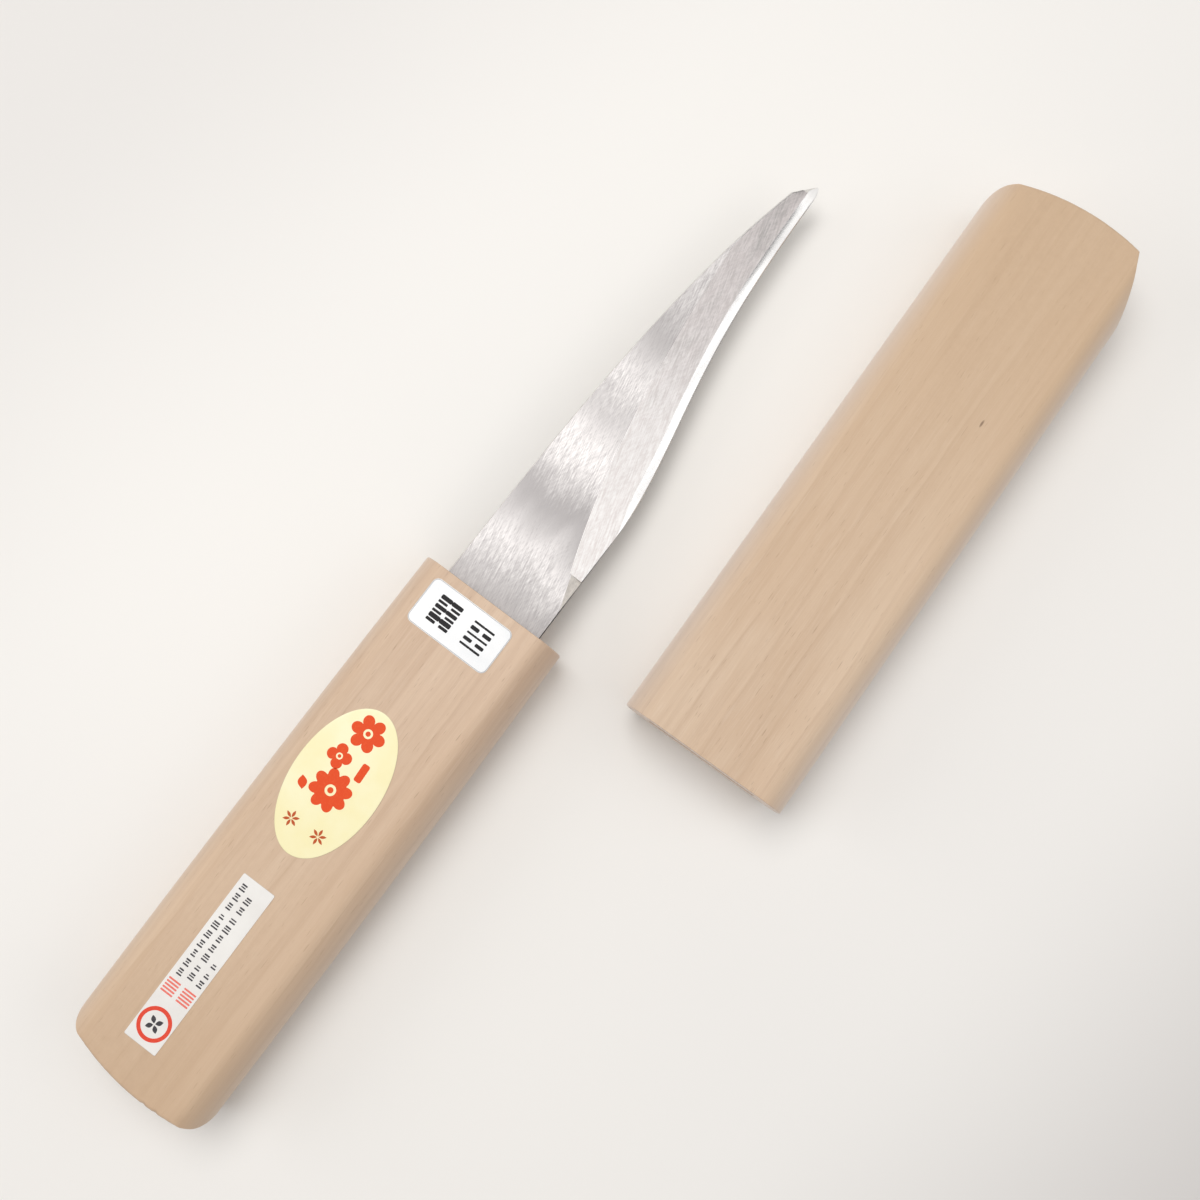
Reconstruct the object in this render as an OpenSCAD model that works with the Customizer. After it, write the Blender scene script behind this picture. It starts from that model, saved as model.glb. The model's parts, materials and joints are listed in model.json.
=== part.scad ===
// Chip carving knife with its wooden sheath lying beside it.
// Frame: +X runs along the knife to its tip, +Y is the spine side, +Z is up.
// The origin is the middle of the whole group's footprint, on the surface it lies on.

/* [Blade] */
// Length of blade standing out of the handle
blade_len = 121.2; // [116:0.2:127]
// Blade width where it leaves the handle
blade_w = 24.9; // [23:0.1:26]
// Blade thickness at the handle
blade_t = 3.2; // [2.8:0.1:3.4]
// Thickness of the hard steel layer on the back
steel_t = 0.9; // [0.7:0.05:1.1]
// Where the filed notch behind the bevel runs out
bevel_start = 8; // [6:0.5:10]
// Where the ground bevel begins
heel_x = 15.8; // [14:0.2:18]
// Width of the polished strip along the edge
strip_w = 2.1; // [1.6:0.1:2.4]
// Depth of the shallow hollow in the back
hollow_d = 0.3; // [0.1:0.05:0.35]

/* [Tang] */
// Length of tang inside the handle
tang_len = 85; // [60:1:95]
// Width of the tang at its end
tang_end_w = 9; // [7:0.5:12]
// Length over which the tang keeps the blade's full width
tang_shoulder = 12; // [8:1:20]

/* [Handle] */
// Handle length from mouth to the top of the rounded butt
handle_len = 125; // [115:1:135]
// Handle width at its mouth
handle_w = 36.4; // [36:0.2:40]
// How much each side swells halfway along
handle_swell = 0.35; // [0.1:0.05:0.8]
// Thickness of the handle and of the sheath
wood_t = 20; // [18:0.5:24]
// Width of each rounded flank
flank_w = 6; // [4:0.5:6.5]
// Radius of the rounded butt
butt_r = 60; // [45:1:90]

/* [Sheath] */
// Sheath length from mouth to the top of its rounded end
sheath_len = 147; // [142:1:156]
// Sheath width
sheath_w = 40.6; // [38:0.2:44]
// Radius of the rounded far end
sheath_end_r = 54; // [45:1:80]
// Length of the flat cut on the edge side of the far end
chamfer_len = 17; // [10:1:22]
// Depth of that flat cut
chamfer_d = 7; // [4:0.5:9]
// Height of the blade slot
slot_h = 4.6; // [4.4:0.1:5.2]
// Room beside the blade in the slot
slot_side = 1; // [0.6:0.1:1.4]
// Angle the sheath lies at, to the knife
sheath_turn = 1.2; // [0:0.1:3]
// Distance from the knife's centre line to the sheath's, at the mouth
sheath_gap = 56.4; // [52:0.2:64]
// How far the sheath's mouth lies ahead of the handle's
sheath_ahead = 0.6; // [0:0.1:4]

/* [Labels] */
// Thickness of the stuck-on labels
label_t = 0.12; // [0.1:0.02:0.3]

/* [Hidden] */

eps = 0.02;
far = 400;
// Mid-thickness, where both wooden pairs are glued
seam_z = wood_t / 2;
back_z = seam_z - blade_t / 2;
spine_y0 = blade_w / 2 + 0.3;
edge_y0 = spine_y0 - blade_w;
// Corner radii at the butt: spine side, then edge side
butt_corner_spine = 5;
butt_corner_edge = 2.5;
// The butt's round is highest a little to the edge side of the centre line
butt_apex_y = -4.5;
// Corner radii at the sheath's far end: spine side, then edge side
end_corner_spine = 4;
end_corner_edge = 1;
end_apex_y = -3;
// The flank curve is drawn a hair taller than the wood, so that the flat faces cut through it
flank_over = 0.02;
flank_steps = 24;
// Labels: middle, measured from the handle's mouth, then size and corner radius
grade_middle = [-7.9, 2.2];
grade_size = [11.2, 20.8];
grade_corner = 1.5;
oval_middle = [-handle_len / 2 + 12.8, 2.75];
oval_half = [17.6, 10.05];
oval_turn = 3;
strip_middle = [-handle_len + 29.2, 2.55];
strip_size = [40.4, 8.2];
strip_corner = 0.3;
strip_turn = 0.3;

// ---- curves shared by the blade, its slot and its layers ----

// The spine ends in a short straight slant down to the point
slant_len = 5;
point_x = blade_len - slant_len;
point_half = 0.15;
tip_y = -0.75;
// Slope of the spine's straight part, then depth and suddenness of its final fall
spine_slope = 0.0155;
spine_fall = 7.65;
spine_power = 3.2;
// Edge: depth it climbs, where the climb starts, how long it takes and how suddenly it starts
edge_rise = 10.6;
edge_bend_x = blade_len * 0.25;
edge_bend_len = blade_len * 0.346;
edge_power = 1.8;
tip_curl = 0.08;
tip_curl_x = blade_len - 3;

function spine_curve(x) = spine_y0 - spine_slope * x - spine_fall * pow(max(x, 0) / point_x, spine_power);
function spine_y(x) = x <= 0 ? spine_y0 : x <= point_x ? spine_curve(x)
    : spine_curve(point_x) + (tip_y + point_half - spine_curve(point_x)) * (x - point_x) / slant_len;
function edge_climb(u) = u <= 0 ? 0 : edge_rise * (1 - exp(-pow(u / edge_bend_len, edge_power)));
function edge_y(x) = min(edge_y0 + edge_climb(x - edge_bend_x)
    + tip_curl * pow(max(x - tip_curl_x, 0), 2), spine_y(x) - 2 * point_half);
function width_at(x) = spine_y(x) - edge_y(x);

// Thickness thins slightly towards the point, then follows the bevel down
thinning = 0.5;
bevel_slope = 0.307;
function thick_at(x) = min(blade_t - thinning * max(x, 0) / blade_len, bevel_slope * width_at(x));

// Ridge between the flat and the ground bevel
ridge_rise = 22.5;
ridge_len = blade_len * 0.433;
spine_chamfer = 0.25;
chamfer_share = 0.3;
function chamfer_at(x) = min(spine_chamfer, chamfer_share * thick_at(x));
// The notch stands a little lower than the bevel that it leads into
notch_share = 0.85;
function ridge_climb(x) = (x < heel_x ? notch_share : 1)
    * ridge_rise * (1 - exp(-max(x - bevel_start, 0) / ridge_len));
function ridge_y(x) = min(edge_y0 + eps + ridge_climb(x), spine_y(x) - 2 * chamfer_at(x));
function bevel_w(x) = ridge_y(x) - edge_y(x);

// Fall of the bevel and of the notch, in mm down for each mm across
main_slope = 0.29;
notch_slope = 0.73;
// Polished strip: it starts where the bevel has cut right through the iron, and takes up most of the point
strip_share = 0.78;
function strip_at(x) = x < heel_x ? 0
    : min(max(bevel_w(x) - (thick_at(x) - steel_t) / main_slope, 0), strip_w, strip_share * width_at(x));
// Height above the back at which the bevel stops
land_share = 0.9;
function land_at(x) = strip_at(x) > 0 ? min(steel_t, land_share * thick_at(x))
    : max(thick_at(x) - (x < heel_x ? notch_slope : main_slope) * bevel_w(x), steel_t + eps);
// Height of the blunt side left below the bevel: it shrinks to a sharp edge past the bend
sharpening_len = 10;
sharp_x = edge_bend_x + sharpening_len;
function blunt_at(x) = x > sharp_x ? eps : max(steel_t * (1 - strip_at(x) / strip_w), eps);

// Hollow in the back, fading out at both ends
hollow_x0 = heel_x + 4;
hollow_x1 = blade_len - 14;
function hollow_at(x) = x <= hollow_x0 || x >= hollow_x1 ? 0
    : hollow_d * pow(sin(180 * (x - hollow_x0) / (hollow_x1 - hollow_x0)), 0.5);
hollow_rim = 1.8;

// Half-width of the tang, with a rounded end
tang_round = 3;
function tang_side(x, side0) = x >= -tang_shoulder ? side0
    : let(f = (-tang_shoulder - x) / (tang_len - tang_shoulder),
        taper = side0 + (sign(side0) * tang_end_w / 2 - side0) * f,
        into = min(max(tang_round - tang_len - x, 0), tang_round))
    taper - sign(side0) * (tang_round - sqrt(tang_round * tang_round - into * into));

// One ring of the blade or tang, seen along X: the hollow rises quickly from its rim, then levels out
hollow_shoulder = 0.75;
function blade_ring(x) = let(
        tang = x < 0,
        ys = tang ? tang_side(x, spine_y0) : spine_y(x),
        ye = tang ? tang_side(x, edge_y0) : edge_y(x),
        t = thick_at(x),
        c = chamfer_at(x),
        zt = back_z + t,
        yr = tang ? ye + eps : ridge_y(x),
        y3 = tang ? ye : ye + strip_at(x),
        land = tang ? t - eps : land_at(x),
        blunt = tang ? steel_t : blunt_at(x),
        m = min(hollow_rim, 0.2 * (ys - ye)),
        q = (ys - ye - 2 * m) / 4,
        d = hollow_at(x))
    [[x, ys, zt - c], [x, ys - c, zt], [x, yr, zt], [x, y3, back_z + land], [x, ye, back_z + blunt],
     [x, ye, back_z], [x, ye + m, back_z], [x, ye + m + q, back_z + hollow_shoulder * d],
     [x, ye + m + 2 * q, back_z + d], [x, ye + m + 3 * q, back_z + hollow_shoulder * d],
     [x, ys - m, back_z], [x, ys, back_z]];

tang_end_xs = [for (k = [0:5]) -tang_len + tang_round * (1 - cos(18 * k))];
tang_xs = concat(tang_end_xs, [-tang_shoulder, 0]);
// Stations crowd together at the notch and at the point
heel_step = 0.05;
blade_xs = concat([for (x = [4:4:bevel_start - 1]) x],
    [bevel_start, (bevel_start + heel_x) / 2, heel_x - heel_step, heel_x],
    [for (x = [heel_x + 3:3:point_x - 1]) x],
    [for (k = [0:slant_len]) point_x + k]);

// Closed skin over rings that all have the same number of points
module skin(rings) {
    n = len(rings[0]);
    last = len(rings) - 1;
    points = [for (r = rings) for (p = r) p];
    sides = [for (i = [0:last - 1]) for (j = [0:n - 1])
        let(a = i * n + j, b = i * n + (j + 1) % n) for (f = [[a, b + n, b], [a, a + n, b + n]]) f];
    caps = [for (j = [1:n - 2]) for (f = [[0, j, j + 1], [last * n, last * n + j + 1, last * n + j]]) f];
    polyhedron(points, concat(sides, caps));
}

module whole_blade() {
    skin([for (x = concat(tang_xs, blade_xs)) blade_ring(x)]);
}

// Everything below the weld between the two layers, forward of the tang's shoulder
module steel_zone() {
    translate([-tang_shoulder, -far / 2, back_z - 5]) cube([far, far, 5 + steel_t]);
}

// ---- wooden shells ----

function arc(cx, cy, r, a0, a1, n) = [for (k = [0:n]) let(a = a0 + (a1 - a0) * k / n)
    [cx + r * cos(a), cy + r * sin(a)]];

// Plan outline from x = 0 to a rounded end at x = len, with a corner of its own on each side.
// side is the half-width there, big the end's radius, apex_y where the end is furthest out.
function end_arc(length, side, big, apex_y, r_spine, r_edge) = let(
        cx = length - big,
        sx = cx + sqrt(pow(big - r_spine, 2) - pow(side - r_spine - apex_y, 2)),
        ex = cx + sqrt(pow(big - r_edge, 2) - pow(-side + r_edge - apex_y, 2)),
        sa = atan2(side - r_spine - apex_y, sx - cx),
        ea = atan2(-side + r_edge - apex_y, ex - cx))
    concat(arc(ex, -side + r_edge, r_edge, -90, ea, 8),
        arc(cx, apex_y, big, ea + 1, sa - 1, 24),
        arc(sx, side - r_spine, r_spine, sa, 90, 10));

function handle_side(x) = handle_w / 2 + handle_swell * (1 - pow((x + handle_len / 2) / (handle_len / 2), 2));

// Cross-section ring: flat faces and elliptical flanks
function wood_ring(x, side) = let(h = wood_t / 2 + flank_over)
    concat([for (k = [0:flank_steps]) let(a = -90 + 180 * k / flank_steps)
            [x, side - flank_w + flank_w * cos(a), seam_z + h * sin(a)]],
        [for (k = [0:flank_steps]) let(a = 90 + 180 * k / flank_steps)
            [x, -side + flank_w + flank_w * cos(a), seam_z + h * sin(a)]]);

butt_side = handle_side(-handle_len + 5);
handle_outline = [for (p = end_arc(handle_len, butt_side, butt_r, butt_apex_y, butt_corner_spine,
    butt_corner_edge)) [-p[0], p[1]]];

module handle_solid() {
    intersection() {
        skin([for (k = [0:14]) let(x = -handle_len - 1 + (handle_len + 2) * k / 14)
            wood_ring(x, handle_side(x))]);
        linear_extrude(wood_t) polygon(concat([[0, -far / 2]], [[handle_outline[0][0], -far / 2]],
            handle_outline, [[handle_outline[len(handle_outline) - 1][0], far / 2], [0, far / 2]]));
    }
}

tang_fit = 0.05;
tang_cut_xs = concat([for (x = tang_end_xs) x - tang_fit], [-tang_shoulder, 1]);
tang_cut_last = len(tang_cut_xs) - 1;
module tang_channel() {
    spine_line = [for (x = tang_cut_xs) [x, tang_side(x, spine_y0) + tang_fit]];
    edge_line = [for (i = [tang_cut_last:-1:0])
        [tang_cut_xs[i], tang_side(tang_cut_xs[i], edge_y0) - tang_fit]];
    translate([0, 0, back_z]) linear_extrude(blade_t) polygon(concat(spine_line, edge_line));
}

// Section of the sheath across its length, as drawn in Y and Z
module sheath_section() {
    intersection() {
        square([sheath_w + 2, wood_t], center = true);
        union() {
            square([sheath_w - 2 * flank_w, wood_t], center = true);
            for (s = [-1, 1]) translate([s * (sheath_w / 2 - flank_w), 0])
                scale([flank_w, wood_t / 2]) circle(1, $fn = 96);
        }
    }
}

sheath_end = end_arc(sheath_len, sheath_w / 2, sheath_end_r, end_apex_y, end_corner_spine, end_corner_edge);
chamfer_x = sheath_len - chamfer_len;

module sheath_solid() {
    intersection() {
        translate([0, 0, seam_z]) rotate([90, 0, 90]) linear_extrude(sheath_len + 1) sheath_section();
        linear_extrude(wood_t) polygon(concat([[0, -far / 2]], [[sheath_end[0][0], -far / 2]], sheath_end,
            [[sheath_end[len(sheath_end) - 1][0], far / 2], [0, far / 2]]));
        // Flat cut across the corner on the edge side
        linear_extrude(wood_t) polygon([[-1, -far / 2], [chamfer_x, -far / 2], [chamfer_x, -sheath_w / 2],
            [sheath_len + 1, -sheath_w / 2 + chamfer_d * (1 + 1 / chamfer_len)],
            [sheath_len + 1, far / 2], [-1, far / 2]]);
    }
}

// The slot follows the blade's outline, stretched to run a little past the point
slot_steps = 12;
slot_end = blade_len + 3;
module blade_slot() {
    spine_line = [for (k = [0:slot_steps])
        [slot_end * k / slot_steps, spine_y(blade_len * k / slot_steps) + slot_side]];
    edge_line = [for (k = [slot_steps:-1:0])
        [slot_end * k / slot_steps, edge_y(blade_len * k / slot_steps) - slot_side]];
    translate([0, 0, seam_z - slot_h / 2]) linear_extrude(slot_h) polygon(concat(
        [[-1, spine_y(0) + slot_side]], spine_line, edge_line, [[-1, edge_y(0) - slot_side]]));
}

// ---- placing ----

function turned(p) = [sheath_ahead + p[0] * cos(sheath_turn) - p[1] * sin(sheath_turn),
    -sheath_gap + p[0] * sin(sheath_turn) + p[1] * cos(sheath_turn)];
sheath_corners = [[0, sheath_w / 2], [0, -sheath_w / 2], [chamfer_x, -sheath_w / 2]];
sheath_points = [for (p = concat(sheath_corners, sheath_end)) turned(p)];
group_x0 = -handle_len;
group_x1 = max([for (p = sheath_points) p[0]]);
group_y0 = min([for (p = sheath_corners) turned(p)[1]]);
group_y1 = handle_w / 2 + handle_swell;
middle = [-(group_x0 + group_x1) / 2, -(group_y0 + group_y1) / 2, 0];

module place_knife() {
    translate(middle) children();
}

module place_sheath() {
    translate(middle) translate([sheath_ahead, -sheath_gap, 0]) rotate([0, 0, sheath_turn]) children();
}

module upper() {
    translate([-far / 2, -far / 2, seam_z]) cube([far, far, wood_t]);
}

module lower() {
    translate([-far / 2, -far / 2, seam_z - wood_t]) cube([far, far, wood_t]);
}

// ---- the nine pieces ----

module handle_front_half() {
    color([0.77, 0.66, 0.56]) place_knife() difference() {
        intersection() {
            handle_solid();
            upper();
        }
        tang_channel();
    }
}

module handle_back_half() {
    color([0.75, 0.64, 0.54]) place_knife() difference() {
        intersection() {
            handle_solid();
            lower();
        }
        tang_channel();
    }
}

module blade_iron() {
    color([0.78, 0.77, 0.76]) place_knife() difference() {
        whole_blade();
        steel_zone();
    }
}

module blade_steel() {
    color([0.9, 0.89, 0.89]) place_knife() intersection() {
        whole_blade();
        steel_zone();
    }
}

module rounded_plate(size, r) {
    x = size[0] / 2 - r;
    y = size[1] / 2 - r;
    linear_extrude(label_t) polygon(concat(arc(x, y, r, 0, 90, 6), arc(-x, y, r, 90, 180, 6),
        arc(-x, -y, r, 180, 270, 6), arc(x, -y, r, 270, 360, 6)));
}

module place_label(middle_at, turn) {
    place_knife() translate([middle_at[0], middle_at[1], wood_t]) rotate([0, 0, turn]) children();
}

module grade_label() {
    color([0.93, 0.93, 0.93]) place_label(grade_middle, 0) rounded_plate(grade_size, grade_corner);
}

module oval_label() {
    color([0.96, 0.94, 0.72]) place_label(oval_middle, oval_turn)
        linear_extrude(label_t) scale(oval_half) circle(1, $fn = 96);
}

module strip_label() {
    color([0.95, 0.94, 0.93]) place_label(strip_middle, strip_turn) rounded_plate(strip_size, strip_corner);
}

module sheath_front_half() {
    color([0.82, 0.71, 0.6]) place_sheath() difference() {
        intersection() {
            sheath_solid();
            upper();
        }
        blade_slot();
    }
}

module sheath_back_half() {
    color([0.8, 0.69, 0.58]) place_sheath() difference() {
        intersection() {
            sheath_solid();
            lower();
        }
        blade_slot();
    }
}

handle_front_half();
handle_back_half();
blade_iron();
blade_steel();
grade_label();
oval_label();
strip_label();
sheath_front_half();
sheath_back_half();
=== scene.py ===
"""A chip carving knife with its wooden sheath beside it: the looks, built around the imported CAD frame."""

import json
import random
from math import atan2, copysign, cos, exp, hypot, pi, radians, sin, sqrt

import bmesh
import bpy
from mathutils import Matrix, Vector, noise


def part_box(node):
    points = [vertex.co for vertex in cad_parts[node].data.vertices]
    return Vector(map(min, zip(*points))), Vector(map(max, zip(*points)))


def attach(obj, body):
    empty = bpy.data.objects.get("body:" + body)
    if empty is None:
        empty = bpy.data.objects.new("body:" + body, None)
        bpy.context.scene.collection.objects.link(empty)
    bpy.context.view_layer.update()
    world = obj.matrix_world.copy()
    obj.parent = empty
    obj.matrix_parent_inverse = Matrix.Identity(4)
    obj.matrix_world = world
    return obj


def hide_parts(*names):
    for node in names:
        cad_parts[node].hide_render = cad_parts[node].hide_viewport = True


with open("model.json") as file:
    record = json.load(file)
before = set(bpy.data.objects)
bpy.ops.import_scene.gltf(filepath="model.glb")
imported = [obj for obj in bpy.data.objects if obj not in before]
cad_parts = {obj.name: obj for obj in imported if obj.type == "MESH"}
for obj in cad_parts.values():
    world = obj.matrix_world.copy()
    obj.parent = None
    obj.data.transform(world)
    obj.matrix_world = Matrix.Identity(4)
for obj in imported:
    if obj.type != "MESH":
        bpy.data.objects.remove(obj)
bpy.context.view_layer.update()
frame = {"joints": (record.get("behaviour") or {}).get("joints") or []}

# ---- Sizes in millimetres, and the two pieces' own frames ----

MM = 0.001


def box_mm(node):
    low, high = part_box(node)
    return low / MM, high / MM


handle_lo, handle_hi = box_mm("handle_front_half")
steel_lo, steel_hi = box_mm("blade_steel")
sheath_lo, sheath_hi = box_mm("sheath_front_half")

WOOD_T = handle_hi.z
SEAM_Z = handle_lo.z
HALF_T = WOOD_T - SEAM_Z
HANDLE_LEN = handle_hi.x - handle_lo.x
HANDLE_SWELL = 0.35
HANDLE_SIDE = (handle_hi.y - handle_lo.y) / 2 - HANDLE_SWELL
FLANK = 6.0
BUTT_R = 60.0
BUTT_APEX = -4.5
BUTT_CORNERS = (5.0, 2.5)

SHEATH_LEN = 147.0
SHEATH_SIDE = 20.3
SHEATH_END_R = 54.0
SHEATH_APEX = -3.0
SHEATH_CORNERS = (4.0, 1.0)
CHAMFER_LEN = 17.0
CHAMFER_D = 7.0

BLADE_LEN = steel_hi.x - handle_hi.x
BLADE_T = 3.2
BLADE_W = 24.9
BACK_Z = steel_lo.z
STEEL_T = steel_hi.z - steel_lo.z
STEEL_Z = steel_hi.z
NOTCH_X = 8.0
HEEL_X = 15.8
STRIP_W = 2.1
HOLLOW_D = 0.3
TANG_LEN = 85.0
TANG_END_W = 9.0
TANG_SHOULDER = 12.0
TANG_ROUND = 3.0
SLOT_H = 4.6
SLOT_SIDE = 1.0
SLOT_END = BLADE_LEN + 3

draw_axis = Vector(frame["joints"][0]["axis"])
turn = atan2(draw_axis.y, draw_axis.x)
knife_mouth = Vector((handle_hi.x, (handle_lo.y + handle_hi.y) / 2, 0)) * MM
sheath_offset = Vector((sin(turn), cos(turn), 0)) * SHEATH_SIDE
sheath_mouth = Vector((sheath_lo.x + sheath_offset.x, sheath_lo.y + sheath_offset.y, 0)) * MM
KNIFE = Matrix.Translation(knife_mouth)
SHEATH = Matrix.Translation(sheath_mouth) @ Matrix.Rotation(turn, 4, "Z")

# ---- Curves of the blade, the same as the CAD model's ----

SLANT_LEN = 5
POINT_X = BLADE_LEN - SLANT_LEN
POINT_HALF = 0.15
TIP_Y = -0.75
SPINE_Y0 = BLADE_W / 2 + 0.3
SPINE_SLOPE = 0.0155
SPINE_FALL = 7.65
SPINE_POWER = 3.2
EDGE_Y0 = SPINE_Y0 - BLADE_W
EDGE_RISE = 10.6
EDGE_POWER = 1.8
BEND_X = BLADE_LEN * 0.25
BEND_LEN = BLADE_LEN * 0.346
TIP_CURL = 0.08
TIP_CURL_LEN = 3
THINNING = 0.5
POINT_THINNING = 0.307
SPINE_CHAMFER = 0.25
CHAMFER_SHARE = 0.3
NOTCH_SHARE = 0.85
RIDGE_RISE = 22.5
RIDGE_LEN = BLADE_LEN * 0.433
BEVEL_SLOPE = 0.29
NOTCH_SLOPE = 0.73
STRIP_SHARE = 0.78
LAND_SHARE = 0.9
SHARPENING_LEN = 10
HOLLOW_ENDS = (4, 14)
THIN = 0.02


def spine_curve(x):
    return SPINE_Y0 - SPINE_SLOPE * x - SPINE_FALL * (max(x, 0) / POINT_X) ** SPINE_POWER


def spine_y(x):
    if x <= 0:
        return SPINE_Y0
    if x <= POINT_X:
        return spine_curve(x)
    start = spine_curve(POINT_X)
    return start + (TIP_Y + POINT_HALF - start) * (x - POINT_X) / SLANT_LEN


def edge_y(x):
    past_bend = max(x - BEND_X, 0)
    climb = EDGE_RISE * (1 - exp(-((past_bend / BEND_LEN) ** EDGE_POWER)))
    curl = TIP_CURL * max(x - BLADE_LEN + TIP_CURL_LEN, 0) ** 2
    return min(EDGE_Y0 + climb + curl, spine_y(x) - 2 * POINT_HALF)


def width_at(x):
    return spine_y(x) - edge_y(x)


def thick_at(x):
    return min(BLADE_T - THINNING * max(x, 0) / BLADE_LEN, POINT_THINNING * width_at(x))


def chamfer_at(x):
    return min(SPINE_CHAMFER, CHAMFER_SHARE * thick_at(x))


def ridge_y(x):
    """Where the flat meets the ground bevel."""
    share = NOTCH_SHARE if x < HEEL_X else 1
    climb = share * RIDGE_RISE * (1 - exp(-max(x - NOTCH_X, 0) / RIDGE_LEN))
    return min(EDGE_Y0 + THIN + climb, spine_y(x) - 2 * chamfer_at(x))


def strip_at(x):
    """Width of the honed strip."""
    if x < HEEL_X:
        return 0
    reach = ridge_y(x) - edge_y(x) - (thick_at(x) - STEEL_T) / BEVEL_SLOPE
    return min(max(reach, 0), STRIP_W, STRIP_SHARE * width_at(x))


def land_at(x):
    """Height above the back at which the bevel stops."""
    if strip_at(x) > 0:
        return min(STEEL_T, LAND_SHARE * thick_at(x))
    slope = NOTCH_SLOPE if x < HEEL_X else BEVEL_SLOPE
    return max(thick_at(x) - slope * (ridge_y(x) - edge_y(x)), STEEL_T + THIN)


def blunt_at(x):
    """Height of the blunt side left below the bevel."""
    if x > BEND_X + SHARPENING_LEN:
        return THIN
    return max(STEEL_T * (1 - strip_at(x) / STRIP_W), THIN)


def hollow_at(x):
    start, stop = HEEL_X + HOLLOW_ENDS[0], BLADE_LEN - HOLLOW_ENDS[1]
    if not start < x < stop:
        return 0
    return HOLLOW_D * sqrt(sin(pi * (x - start) / (stop - start)))


def tang_side(x, side0):
    """Half-width of the tang behind the mouth, with a rounded end."""
    if x >= -TANG_SHOULDER:
        return side0
    sign = copysign(1, side0)
    along = (-TANG_SHOULDER - x) / (TANG_LEN - TANG_SHOULDER)
    taper = side0 + (sign * TANG_END_W / 2 - side0) * along
    into = min(max(TANG_ROUND - TANG_LEN - x, 0), TANG_ROUND)
    return taper - sign * (TANG_ROUND - sqrt(TANG_ROUND**2 - into**2))


# ---- Mesh helpers ----


def add_object(name, data):
    obj = bpy.data.objects.new(name, data)
    bpy.context.scene.collection.objects.link(obj)
    return obj


def make_object(name, mesh, place, body, materials, slot, replaces=()):
    obj = add_object(name, mesh)
    obj.matrix_world = place
    for material in materials:
        mesh.materials.append(material)
    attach(obj, body)
    if replaces:
        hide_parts(*replaces)
    return obj


def mesh_from(name, points, faces, face_kinds=None):
    """A mesh in metres from points in millimetres, with outward normals."""
    bm = bmesh.new()
    verts = [bm.verts.new(Vector(p) * MM) for p in points]
    for i, face in enumerate(faces):
        f = bm.faces.new([verts[k] for k in face])
        f.material_index = face_kinds[i] if face_kinds else 0
    bmesh.ops.recalc_face_normals(bm, faces=bm.faces)
    mesh = bpy.data.meshes.new(name)
    bm.to_mesh(mesh)
    bm.free()
    return mesh


def loft(name, rings, kinds=None, end_kind=0):
    """A closed mesh over rings with the same number of points. kinds gives each side strip its material."""
    n = len(rings[0])
    points = [p for ring in rings for p in ring]
    faces, face_kinds = [], []
    for i in range(len(rings) - 1):
        for j in range(n):
            k = (j + 1) % n
            faces.append((i * n + j, i * n + k, (i + 1) * n + k, (i + 1) * n + j))
            face_kinds.append(kinds(j, rings[i][j][0]) if kinds else 0)
    last = (len(rings) - 1) * n
    faces += [tuple(range(n)), tuple(last + j for j in range(n))]
    face_kinds += [end_kind, end_kind]
    return mesh_from(name, points, faces, face_kinds)


def smooth(obj, angle):
    """Smooth shading, with crisp edges above an angle."""
    obj.data.shade_smooth()
    obj.data.set_sharp_from_angle(angle=radians(angle))
    weighted = obj.modifiers.new("flat_faces", "WEIGHTED_NORMAL")
    weighted.keep_sharp = True
    weighted.weight = 80
    apply_modifiers(obj)


def apply_modifiers(obj):
    graph = bpy.context.evaluated_depsgraph_get()
    mesh = bpy.data.meshes.new_from_object(obj.evaluated_get(graph), depsgraph=graph)
    obj.modifiers.clear()
    obj.data = mesh


def cut(obj, cutter_mesh):
    """Carves a closed mesh, in the same frame, out of obj."""
    cutter = add_object("cutter", cutter_mesh)
    cutter.matrix_world = obj.matrix_world
    bpy.context.view_layer.update()
    boolean = obj.modifiers.new("carve", "BOOLEAN")
    boolean.operation = "DIFFERENCE"
    boolean.solver = "EXACT"
    boolean.object = cutter
    apply_modifiers(obj)
    bpy.data.objects.remove(cutter)
    bpy.data.meshes.remove(cutter_mesh)


# ---- Node helpers ----


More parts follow.
